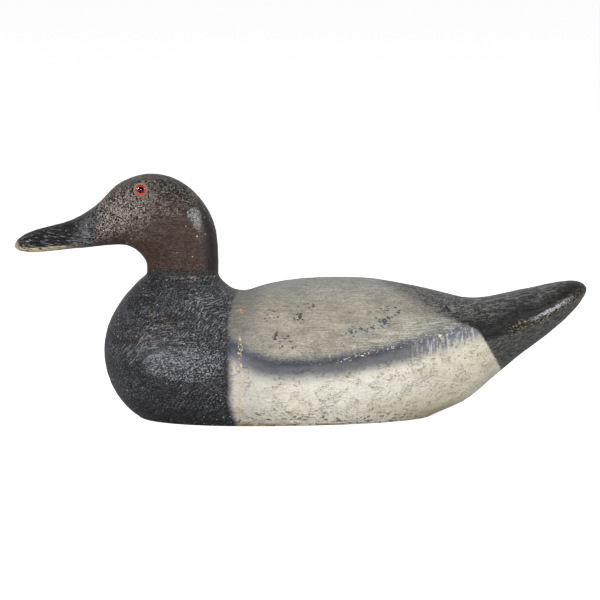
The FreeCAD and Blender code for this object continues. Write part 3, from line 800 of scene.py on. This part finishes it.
def bottom_wear(p, on, damage, coat):
    """Flaked paint low on the side, and wood rubbed bare along the bottom edge."""
    coat = p.mix(coat, srgb(58, 54, 42), p.times(damage.flakes, 0.9, on.pale))
    rubbed = p.ramp(p.noise((9, 9, 3), 3.0, 0.6, 56), 0.36, 0.54)
    sole = p.times(p.ramp(on.height, 3.2, 0.8), rubbed, on.pale)
    return p.mix(coat, srgb(140, 110, 72), p.times(sole, 0.9))


def body_relief_nodes(p, brush, on, crossed, damage):
    """Brush ridges that stand up and knocks that go in, in millimetres."""
    brushed = p.times(p.plus(p.times(crossed, 1.3), p.times(brush.pebbles, 1.1)), on.breast)
    return p.plus(p.times(brush.level_strokes, 0.12), p.times(brush.fine, 0.20),
                  p.times(brush.mottle, 0.12), brushed, p.times(brush.mottle, on.tail, 0.9),
                  p.times(damage.nicks, -0.2), p.times(damage.specks, -0.15),
                  p.times(damage.tracks, -0.15, on.pale), p.times(damage.flakes, -0.2),
                  p.times(damage.tail_chips, -0.2))


def body_material():
    p = Paint("painted_body")
    brush = body_marks(p)
    on = body_areas(p, brush)
    crossed = crossed_strokes(p, brush)
    shoulder_gloss_highlight = shoulder_gloss_and_highlight(p)
    damage = body_damage(p, brush, on)
    coat = p.mix(white_side(p, brush, on), grey_back(p, brush, on), on.back)
    coat = wing_band(p, brush, on, coat)
    coat = p.mix(coat, black_tail(p, brush), on.tail)
    coat = p.mix(coat, black_breast(p, brush, on, crossed, shoulder_gloss_highlight), on.breast)
    coat = pale_wear(p, on, damage, coat)
    coat = back_chips(p, brush, coat)
    coat = cord_line(p, brush, on, coat)
    coat = wing_chips(p, brush, on, coat)
    coat = breast_wear(p, on, coat)
    coat = tail_wear(p, brush, damage, coat)
    coat = bottom_wear(p, on, damage, coat)
    worn_smooth = p.times(damage.polished_ridge_and_highlight, -0.1)
    roughness = p.plus(0.62, p.times(on.black, -0.14), p.wave(brush.mottle, 0.05), worn_smooth)
    film = p.plus(0.03, p.times(on.black, 0.15), p.times(shoulder_gloss_highlight, on.black, 0.2))
    gloss = p.plus(PLAIN_GLOSS, p.times(on.black, OLD_PAINT_GLOSS - PLAIN_GLOSS))
    relief = body_relief_nodes(p, brush, on, crossed, damage)
    return p.finish(coat, roughness, relief, film, Specular_IOR_Level=gloss)


def head_marks(p):
    """The noises and brush marks that the head's paint, wear and relief share."""
    return SimpleNamespace(
        blotch=p.noise(13.0, 3.0, 0.55, 35),
        fine=p.noise(0.9, 2.0, 0.6, 95),
        lines=p.noise((14, 5, 0.8), 2.0, 0.6, 25),
        furrows=p.noise((12, 2.0, 0.7), 3.0, 0.6, 45, turn=-8, distortion=0.2),
        worn=p.noise((5, 2, 0.9), 3.0, 0.7, 65),
        worms=p.threads(p.noise(1.9, 1.5, 0.5, 5, distortion=0.8), 0.40),
        dashes=p.threads(p.noise((3.4, 2.4, 1.5), 2.0, 0.6, 15, distortion=0.6), 0.30))


def head_areas(p, brush):
    """Where the face is stippled, the crown is stroked and the rest is brushed smooth.

    All are shares from 0 to 1 except nape, which is a distance in millimetres.
    """
    cheek = p.ramp(p.plus(p.field("cheek"), p.wave(brush.blotch, 7), p.wave(brush.dashes, 1.5)), -6, 7)
    under_face = p.ramp(p.plus(p.field("lip"), p.wave(brush.dashes, 1.5)), 10, 3)
    smooth = p.math("MAXIMUM", cheek, p.times(under_face, 0.6))
    smooth = p.math("MAXIMUM", smooth, p.times(p.patch(-95, 157, 17, 13), 0.55))
    ahead = p.ramp(p.plus(p.field("bill"), p.wave(brush.blotch, 5)), -48, -30)
    thinner_low = p.ramp(p.field("cheek"), 2, -16, 0.65, 1.0)
    ragged = p.wave(p.noise(2.0, 3.0, 0.65), 0.8)
    return SimpleNamespace(smooth=smooth, face=p.times(p.less(smooth), ahead, thinner_low),
                           crown=p.times(p.less(smooth), p.less(ahead)), throat=p.times(ahead, smooth),
                           bill=p.ramp(p.plus(p.field("bill"), ragged), -0.8, 0.8),
                           collar=p.ramp(p.plus(p.field("collar"), ragged), 1.0, -1.0),
                           nape=p.plus(p.field("nape"), p.times(ragged, 1.5)))


def brown_head(p, brush, on):
    """Chestnut brown, nearly hidden by grey marks on the face and crown, black down the nape. The face's
    marks are partly painted glints on its crackled paint.
    """
    brown = p.mix(srgb(52, 28, 16), srgb(46, 31, 23), p.ramp(brush.blotch, 0.36, 0.62))
    brown = p.mix(brown, srgb(20, 14, 12), p.times(p.math("MAXIMUM", on.face, on.crown), 0.8))
    marks = p.plus(p.times(brush.worms, on.face, 0.80),
                   p.times(brush.dashes, on.crown, p.ramp(brush.fine, 0.36, 0.56), 0.92),
                   p.times(p.ramp(brush.lines, 0.50, 0.74), on.smooth, 0.08),
                   p.times(brush.dashes, on.smooth, 0.10))
    # the face's grey worm marks are partly painted glints on the raised, crackled paint
    coat = p.mix(brown, srgb(168, 158, 148), marks)
    coat = p.mix(coat, srgb(74, 60, 50), p.times(on.throat, 0.30))
    coat = p.shade(coat, p.plus(p.wave(brush.fine, 0.30), p.wave(brush.lines, 0.10)))
    dark_back = p.times(p.ramp(on.nape, -7.0, 1.0), p.less(p.times(brush.worms, 0.3)), 0.9)
    coat = p.mix(coat, srgb(18, 18, 20), dark_back)
    dark_top = p.times(p.ramp(p.field("height"), 160, 175), p.less(p.times(marks, 0.7)), 0.8)
    return p.mix(coat, srgb(18, 17, 16), dark_top)


def nape_rub_and_highlight(p, coat):
    """A small patch at the back of the head, pale partly from rubbed paint and partly as a painted
    highlight.
    """
    patch = p.math("MAXIMUM", p.patch(-76.5, 152.5, 6.5, 7), p.patch(-74.5, 146.5, 4, 6))
    speckled = p.plus(p.noise((1.5, 1.5, 1.1), 3.0, 0.75, 105), p.times(patch, 0.12))
    rubbed = p.times(p.ramp(speckled, 0.50, 0.80), p.ramp(patch, 0.0, 0.9))
    # painted highlight: speckled bluish grey over the back of the head, partly rubbed paint
    return p.mix(coat, srgb(146, 149, 156), p.times(rubbed, 0.85))


def black_bill(p, brush, on, coat):
    """Black, with long brush furrows that are palest along its lower side, where their grey is partly a
    painted reflection.
    """
    base_marks = p.times(brush.worms, p.ramp(p.field("bill"), 20, 4), 0.55)
    # painted reflection: the furrows turn paler towards the bill's lower side
    streaks = p.times(p.ramp(brush.furrows, 0.55, 0.63), p.ramp(p.field("lip"), 20, 6, 0.22, 1.0), 0.85)
    black = p.mix(srgb(1, 1, 2), srgb(150, 152, 156), p.math("MAXIMUM", base_marks, streaks))
    return p.mix(coat, black, on.bill)


def black_collar(p, brush, on, coat):
    """The black of the breast, carried a little way up the neck."""
    return p.mix(coat, p.mix(srgb(20, 20, 22), srgb(96, 97, 98), p.times(brush.dashes, 0.4)), on.collar)


def bare_bill(p, brush, on):
    """Where the wood shows at the bill's tip and along its lower edge, as a share from 0 to 1."""
    at_tip = p.ramp(p.plus(p.field("bill"), p.wave(brush.blotch, 2)), 52, 56)
    tip = p.times(at_tip, p.ramp(p.field("lip"), 8, 5))
    edge = p.times(p.ramp(p.field("lip"), 3.8, 2.2), on.bill, p.ramp(p.field("bill"), 6, 26))
    return p.math("MAXIMUM", p.times(tip, p.ramp(brush.worn, 0.38, 0.48)),
                  p.times(edge, p.ramp(brush.worn, 0.40, 0.50)))


def head_wear(p, brush, bare, coat):
    """Bare wood on the bill, tan specks, and cracks at the neck seam."""
    coat = p.mix(coat, srgb(216, 200, 164), p.times(bare, 0.95))
    coat = p.mix(coat, srgb(200, 184, 146), p.times(p.flecks(4.0, 0.55, 0.6, 75), 0.85))
    crack = p.times(p.ramp(p.field("seam"), 1.0, 0.4), p.ramp(brush.worn, 0.52, 0.58), p.ramp(p.x, -98, -92))
    return p.mix(coat, BARE_WOOD, p.times(crack, 0.7))


def head_material():
    p = Paint("painted_head")
    brush = head_marks(p)
    on = head_areas(p, brush)
    coat = brown_head(p, brush, on)
    coat = nape_rub_and_highlight(p, coat)
    coat = black_bill(p, brush, on, coat)
    coat = black_collar(p, brush, on, coat)
    bare = bare_bill(p, brush, on)
    coat = head_wear(p, brush, bare, coat)
    relief = p.plus(p.times(brush.worms, on.face, 0.45), p.times(brush.dashes, on.crown, 0.5),
                    p.times(brush.lines, 0.3), p.times(brush.furrows, on.bill, 1.6),
                    p.times(brush.fine, 0.25), p.times(bare, -0.15))
    roughness = p.plus(0.46, p.wave(brush.blotch, 0.04), p.times(on.smooth, 0.08), p.times(on.bill, -0.06))
    film = p.plus(0.02, p.times(p.ramp(on.nape, -13.0, -8.0), 0.3), p.times(on.bill, 0.15))
    return p.finish(coat, roughness, relief, film, Specular_IOR_Level=OLD_PAINT_GLOSS)


def plain(name, color, roughness, speckle=0.1, size=2.0, metallic=0.0, relief=0.05):
    """A material of one colour, broken up by soft noise."""
    p = Paint(name)
    grain = p.noise(size, 3.0, 0.6)
    shaded = p.shade(color, p.times(p.plus(grain, -0.5), speckle * 2))
    rough = p.plus(roughness, p.times(p.plus(grain, -0.5), 0.1))
    return p.finish(shaded, rough, p.times(grain, relief), Metallic=metallic)


def wood(name, color):
    """Bare wood with its grain along X."""
    p = Paint(name)
    rings = p.noise((40, 3, 1.6), 3.0, 0.6)
    pores = p.noise((8, 0.6, 0.6), 2.0, 0.6, 9)
    marks = p.plus(p.times(p.plus(rings, -0.5), 0.6), p.times(p.plus(pores, -0.5), 0.3))
    return p.finish(p.shade(color, marks), 0.75, p.times(pores, 0.15))


def glass():
    p = Paint("clear_glass")
    return p.finish((0.98, 0.98, 0.97, 1), 0.02, Transmission_Weight=1.0, IOR=1.5)


def dress(node, material):
    """Gives a CAD piece its looks."""
    mesh = nodes[node].data
    mesh.materials.clear()
    mesh.materials.append(material)
    mesh.polygons.foreach_set("material_index", [0] * len(mesh.polygons))


def materials():
    body_fields(body_skin)
    head_fields(head_skin)
    body_skin.data.materials[0] = body_material()
    head_skin.data.materials[0] = head_material()
    inside = wood("bare_cedar", srgb(176, 136, 96))
    body_skin.data.materials[1] = inside
    head_skin.data.materials[1] = inside
    brass = plain("tarnished_brass", srgb(150, 120, 70), 0.4, 0.25, metallic=0.9)
    steel = plain("dull_steel", srgb(130, 125, 118), 0.45, 0.2, metallic=0.9)
    looks = {
        "bottom_board": plain("board_paint", srgb(150, 145, 132), 0.65, 0.25, 6.0, relief=0.2),
        "bottom_board_seal": plain("seal", srgb(60, 56, 50), 0.7),
        "bottom_board_screws": brass, "ballast_screws": brass,
        "ballast_weight": plain("oxidised_lead", srgb(96, 97, 100), 0.5, 0.25, 5.0, 0.6, 0.2),
        "line_tie_staple": steel, "line_tie_loop": steel, "dowel_screw": steel, "dowel_washer": steel,
        "neck_dowel": wood("bare_birch", srgb(200, 170, 125)),
    }
    lens = glass()
    enamel = plain("iris_enamel", srgb(224, 68, 26), 0.3, 0.1, 1.0)
    pupil = plain("pupil_enamel", srgb(8, 8, 8), 0.25)
    putty = plain("eye_putty", srgb(120, 111, 99), 0.7, 0.8, 0.8, relief=0.3)
    for side in EYES:
        looks.update({f"{side}_eye_glass": lens, f"{side}_eye_iris": enamel, f"{side}_eye_pupil": pupil,
                      f"{side}_eye_putty": putty, f"{side}_eye_wire": steel})
    for node, material in looks.items():
        dress(node, material)
    for side in EYES:
        nodes[f"{side}_eye_glass"].visible_shadow = False   # light reaches the iris through the lens


materials()


# ------------------------------------------------------------------ stage
def camera_ray(tree):
    """1 for what the camera sees directly, 0 for light that bounces."""
    return tree.nodes.new("ShaderNodeLightPath").outputs["Is Camera Ray"]


def between(tree, share, low, high):
    """A number that goes from low to high as share goes from 0 to 1."""
    node = tree.nodes.new("ShaderNodeMapRange")
    node.inputs["To Min"].default_value = low
    node.inputs["To Max"].default_value = high
    tree.links.new(share, node.inputs["Value"])
    return node.outputs["Result"]


def floor_material():
    """White to the camera, with a faint shadow under the duck. It throws back little light."""
    material = bpy.data.materials.new("floor_white")
    material.use_nodes = True
    tree = material.node_tree
    surface = tree.nodes["Principled BSDF"]
    surface.inputs["Roughness"].default_value = 0.9
    surface.inputs["Specular IOR Level"].default_value = 0.0
    seen = camera_ray(tree)
    brightness = between(tree, seen, FLOOR_BOUNCE, FLOOR_SHADE)
    grey = tree.nodes.new("ShaderNodeCombineColor")
    for channel in grey.inputs:
        tree.links.new(brightness, channel)
    tree.links.new(grey.outputs["Color"], surface.inputs["Base Color"])
    surface.inputs["Emission Color"].default_value = (1, 1, 1, 1)
    tree.links.new(between(tree, seen, 0.0, FLOOR_LIFT), surface.inputs["Emission Strength"])
    return material


def direction(side, up):
    """Unit vector at those angles in degrees: side is counted to the right of the camera's side."""
    side, up = math.radians(side), math.radians(up)
    return Vector((math.sin(side) * math.cos(up), -math.cos(side) * math.cos(up), math.sin(up)))


def add_light(name, side, up, size, power):
    """A soft box that faces the duck from those angles."""
    data = bpy.data.lights.new(name, "AREA")
    data.shape = "RECTANGLE"
    data.size, data.size_y = size
    data.energy = power
    light = bpy.data.objects.new(name, data)
    light.visible_camera = False
    light.location = MIDDLE + direction(side, up) * LIGHT_DISTANCE
    light.rotation_euler = (-direction(side, up)).to_track_quat("-Z", "Y").to_euler()
    bpy.context.scene.collection.objects.link(light)


def sky():
    """An even white room, brighter behind the duck, where its edges mirror it."""
    world = bpy.data.worlds.new("studio")
    world.use_nodes = True
    tree = world.node_tree
    background = tree.nodes["Background"]
    background.inputs["Color"].default_value = (1, 1, 1, 1)
    looking = tree.nodes.new("ShaderNodeTexCoord").outputs["Generated"]
    parts = tree.nodes.new("ShaderNodeSeparateXYZ")
    tree.links.new(looking, parts.inputs["Vector"])
    lit = tree.nodes.new("ShaderNodeMapRange")
    lit.interpolation_type = "SMOOTHSTEP"
    lit.inputs["From Min"].default_value = -0.2
    lit.inputs["From Max"].default_value = 1.0
    lit.inputs["To Min"].default_value = SKY_FRONT
    lit.inputs["To Max"].default_value = SKY_BACK
    tree.links.new(parts.outputs["Y"], lit.inputs["Value"])
    brightest = tree.nodes.new("ShaderNodeMath")
    brightest.operation = "MAXIMUM"
    tree.links.new(lit.outputs["Result"], brightest.inputs[0])
    tree.links.new(camera_ray(tree), brightest.inputs[1])
    tree.links.new(brightest.outputs[0], background.inputs["Strength"])
    bpy.context.scene.world = world


def stage():
    bpy.ops.mesh.primitive_plane_add(size=FLOOR_SIZE)
    floor = bpy.context.object
    floor.name = "floor"
    floor.location.z = -FLOOR_GAP
    floor.data.materials.append(floor_material())
    add_light("left_box", -52, 22, (0.9, 0.5), 20)
    add_light("right_box", 58, 20, (0.7, 0.5), 18)
    add_light("front_box", 0, 9, (1.0, 0.45), 12)
    add_light("top_box", 0, 84, (1.2, 0.5), 4)
    sky()
    bpy.context.scene.view_settings.view_transform = "Standard"


def camera():
    """Looks square at the left side, from so far off that it sees the duck almost without perspective."""
    rises = view_rise(np.vstack([points_of(body_skin.data), points_of(head_skin.data)]))
    target = direction(0, 90 + math.degrees(TILT)) * (rises.min() + rises.max()) / 2
    data = bpy.data.cameras.new("camera")
    data.sensor_width = SENSOR_WIDTH
    length = cad_bounds[1].x - cad_bounds[0].x
    data.lens = SENSOR_WIDTH * VIEW_DISTANCE * DUCK_SHARE / length
    data.clip_end = 3 * VIEW_DISTANCE
    viewer = bpy.data.objects.new("camera", data)
    viewer.location = target + direction(0, math.degrees(TILT)) * VIEW_DISTANCE
    viewer.rotation_euler = (-direction(0, math.degrees(TILT))).to_track_quat("-Z", "Y").to_euler()
    bpy.context.scene.collection.objects.link(viewer)
    bpy.context.scene.camera = viewer


stage()
camera()
